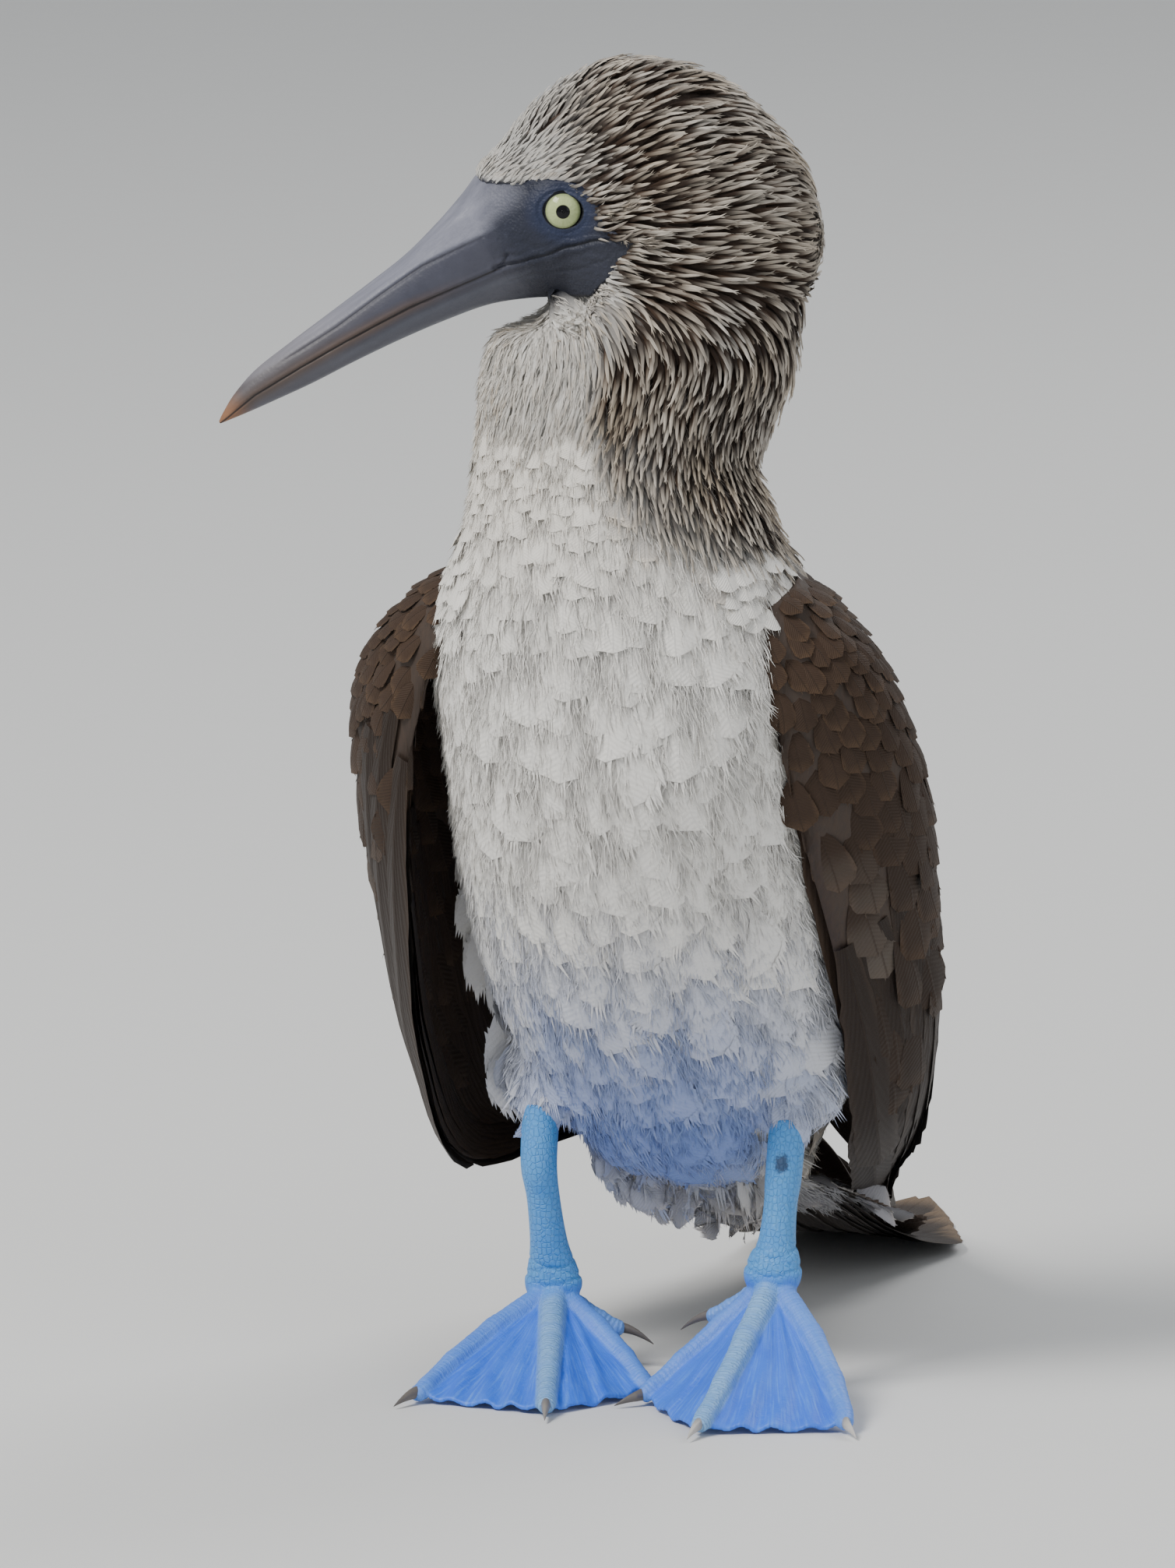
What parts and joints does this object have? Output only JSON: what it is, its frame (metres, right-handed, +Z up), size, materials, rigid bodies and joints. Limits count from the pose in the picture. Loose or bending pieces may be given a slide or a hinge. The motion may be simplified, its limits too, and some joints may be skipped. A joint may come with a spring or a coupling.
{
  "type": "blue-footed booby",
  "caption": "Life-size standing seabird with a spear-like bill, head turned to its right, folded wings, wedge tail and webbed feet.",
  "frame": {"origin": "on the floor, under the middle of the model's box", "axes": "+Z up, the breast faces -Y, the bird's left side is +X"},
  "size_m": [0.2006, 0.3752, 0.4076],
  "materials": {
    "head_feathers": "narrow brown feathers with pale tips",
    "neck_feathers": "white feathers mottled with brown",
    "white_feathers": "soft white feathers",
    "wing_feathers": "dark brown feathers with paler edges",
    "tail_feathers": "dark brown feathers with tan tips",
    "bill_horn": "satin slate-blue horn",
    "eye": "wet, pale yellow iris with a black pupil",
    "foot_skin": "bright blue scaled skin",
    "claw_horn": "satin grey horn"
  },
  "bodies": {
    "root": {"head": "head_feathers", "neck": "neck_feathers", "trunk": "white_feathers", "thigh_left": "white_feathers", "thigh_right": "white_feathers", "tail": "tail_feathers", "wing_left_coverts": "wing_feathers", "wing_left_flight": "wing_feathers", "wing_right_coverts": "wing_feathers", "wing_right_flight": "wing_feathers", "bill_upper": "bill_horn", "bill_lower": "bill_horn", "eye_left": "eye", "eye_right": "eye", "shank_left": "foot_skin", "shank_right": "foot_skin", "foot_left": "foot_skin", "foot_right": "foot_skin", "claw_left_outer": "claw_horn", "claw_left_middle": "claw_horn", "claw_left_inner": "claw_horn", "claw_left_hind": "claw_horn", "claw_right_outer": "claw_horn", "claw_right_middle": "claw_horn", "claw_right_inner": "claw_horn", "claw_right_hind": "claw_horn"}
  },
  "joints": []
}
